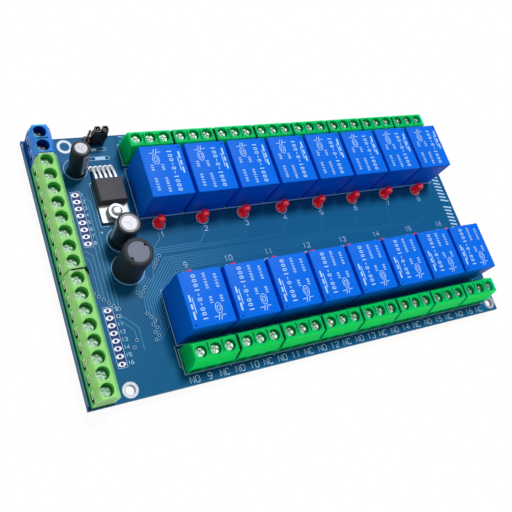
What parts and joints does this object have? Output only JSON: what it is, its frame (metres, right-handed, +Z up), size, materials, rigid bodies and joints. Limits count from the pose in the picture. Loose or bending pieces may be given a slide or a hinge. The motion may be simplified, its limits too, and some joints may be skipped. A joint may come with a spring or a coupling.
{
  "type": "relay module board",
  "caption": "Circuit board with two rows of sealed relays, each with a status light and screw terminal, and input terminals and a step-down supply at one end.",
  "frame": {"origin": "under the middle of the board, at the level of the clipped pin tips it rests on", "axes": "+X along the board from the input terminals to the bare end, +Y from the front edge (channels 9 to 16) to the back edge, +Z up out of the board's top face"},
  "size_m": [0.1712, 0.0922, 0.0195],
  "materials": {
    "board_blue": "glossy solder mask on glass-epoxy board",
    "relay_blue": "moulded plastic, slight sheen",
    "terminal_green": "moulded plastic, slight sheen",
    "terminal_light_green": "moulded plastic, slight sheen",
    "terminal_blue": "moulded plastic, slight sheen",
    "plated_steel": "bright zinc plating",
    "plated_clamp": "dull nickel plating",
    "tinned_lead": "tinned copper",
    "led_red": "translucent red epoxy",
    "can_aluminium": "bright drawn aluminium",
    "sleeve_black": "shrunk film, slight sheen",
    "ferrite_grey": "dull sintered ferrite",
    "moulding_dark_grey": "matt moulding compound",
    "tab_nickel": "bright tinned copper",
    "black_plastic": "moulded plastic",
    "pin_tinned": "plated brass",
    "resistor_black": "glazed chip"
  },
  "bodies": {
    "board": {"circuit_board": "board_blue", "relay_1": "relay_blue", "relay_2": "relay_blue", "relay_3": "relay_blue", "relay_4": "relay_blue", "relay_5": "relay_blue", "relay_6": "relay_blue", "relay_7": "relay_blue", "relay_8": "relay_blue", "relay_9": "relay_blue", "relay_10": "relay_blue", "relay_11": "relay_blue", "relay_12": "relay_blue", "relay_13": "relay_blue", "relay_14": "relay_blue", "relay_15": "relay_blue", "relay_16": "relay_blue", "output_terminal_1": "terminal_green", "output_terminal_2": "terminal_green", "output_terminal_3": "terminal_green", "output_terminal_4": "terminal_green", "output_terminal_5": "terminal_green", "output_terminal_6": "terminal_green", "output_terminal_7": "terminal_green", "output_terminal_8": "terminal_green", "output_terminal_9": "terminal_green", "output_terminal_10": "terminal_green", "output_terminal_11": "terminal_green", "output_terminal_12": "terminal_green", "output_terminal_13": "terminal_green", "output_terminal_14": "terminal_green", "output_terminal_15": "terminal_green", "output_terminal_16": "terminal_green", "input_terminal_lower": "terminal_light_green", "input_terminal_upper": "terminal_light_green", "power_terminal": "terminal_blue", "relay_pins": "tinned_lead", "wire_clamps": "plated_clamp", "output_screws": "plated_steel", "input_screws": "plated_steel", "terminal_pins": "tinned_lead", "status_leds": "led_red", "component_leads": "tinned_lead", "capacitor_cans": "can_aluminium", "capacitor_sleeves": "sleeve_black", "inductor_core": "ferrite_grey", "inductor_sleeve": "sleeve_black", "regulator_tab": "tab_nickel", "regulator_body": "moulding_dark_grey", "regulator_legs": "tinned_lead", "regulator_screw": "plated_steel", "regulator_nut": "plated_steel", "header_base": "black_plastic", "header_pins": "pin_tinned", "driver_chips": "moulding_dark_grey", "driver_chip_leads": "tinned_lead", "led_resistors": "resistor_black", "power_diode": "moulding_dark_grey"},
    "jumper": {"jumper_cap": "black_plastic", "jumper_contact": "pin_tinned"}
  },
  "joints": [
    {"name": "jumper_pull", "type": "slide", "parent": "board", "child": "jumper", "axis": [0, 0, 1], "range_m": [0, 0.009]}
  ]
}
